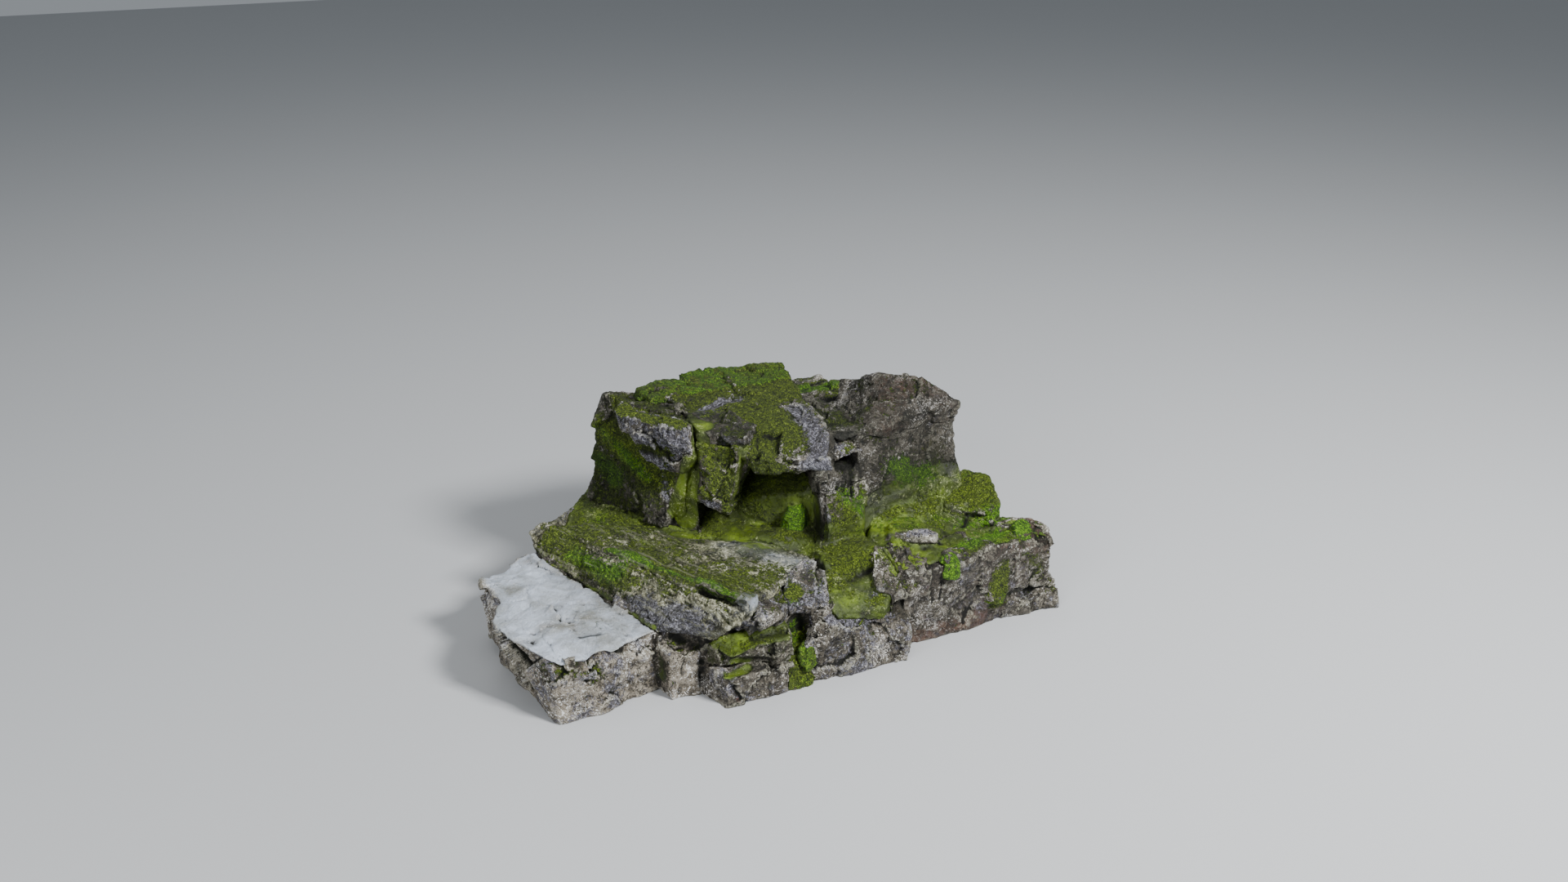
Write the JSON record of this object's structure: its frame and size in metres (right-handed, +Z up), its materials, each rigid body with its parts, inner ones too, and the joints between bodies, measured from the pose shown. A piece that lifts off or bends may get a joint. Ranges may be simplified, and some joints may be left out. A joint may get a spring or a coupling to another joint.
{
  "type": "resin cave ornament",
  "caption": "Low stacked-rock aquarium cave: tilted ramp slab, flat side slab, terrace and roofed cave mouth, moss-covered.",
  "frame": {"origin": "centre of the footprint's bounding box, on the surface the ornament stands on", "axes": "+X along the long front from the grey slab to the right foot stone, the cave mouth faces -Y, +Z up"},
  "size_m": [0.3, 0.196, 0.118],
  "materials": {
    "rock_casting": "painted resin, rough grey-brown rock with pale flecks",
    "pale_slab": "painted resin, pale blue-grey worn slab",
    "ramp_rock": "painted resin, grey-brown grain washed with green",
    "mossy_rock": "painted resin, olive moss film over grey rock",
    "lichen_rock": "painted resin, pale lichen and olive moss on grey rock",
    "moss_mat": "painted resin with a flocked bright moss mat",
    "moss_flock": "flocked moss, matt and fibrous",
    "dowel": "extruded acrylic rod"
  },
  "bodies": {
    "root": {"front_base": "rock_casting", "right_base": "rock_casting", "cave_floor": "rock_casting", "wedge_stone": "rock_casting", "corner_stone": "rock_casting", "front_rock": "rock_casting", "low_rock": "rock_casting", "leaning_stone": "rock_casting", "foot_stone": "rock_casting", "left_shard": "rock_casting", "tip_chunk": "rock_casting", "tower": "rock_casting", "tower_crown": "rock_casting", "tower_key": "rock_casting", "rear_left_stone": "rock_casting", "rear_right_stone": "rock_casting", "end_stone": "rock_casting", "edge_boulder": "rock_casting", "grey_slab": "pale_slab", "ramp_slab": "ramp_rock", "ramp_lamina": "ramp_rock", "mossy_ledge": "mossy_rock", "groove_stone": "mossy_rock", "apron_stone": "mossy_rock", "terrace_plate": "mossy_rock", "step_block": "mossy_rock", "front_shoulder": "mossy_rock", "rear_shoulder": "mossy_rock", "pillar": "mossy_rock", "crest_stone": "mossy_rock", "inner_boulder": "mossy_rock", "hanging_stone": "mossy_rock", "tower_ledge": "mossy_rock", "jamb_boulder": "mossy_rock", "pocket_ledge": "mossy_rock", "roof_boulder": "lichen_rock", "lintel_stone": "lichen_rock", "nose_boulder": "lichen_rock", "cap_stone": "moss_mat", "groove_moss": "moss_flock", "cave_moss": "moss_flock", "end_moss": "moss_flock", "rim_moss": "moss_flock", "face_moss": "moss_flock", "locating_dowels": "dowel"}
  },
  "joints": []
}
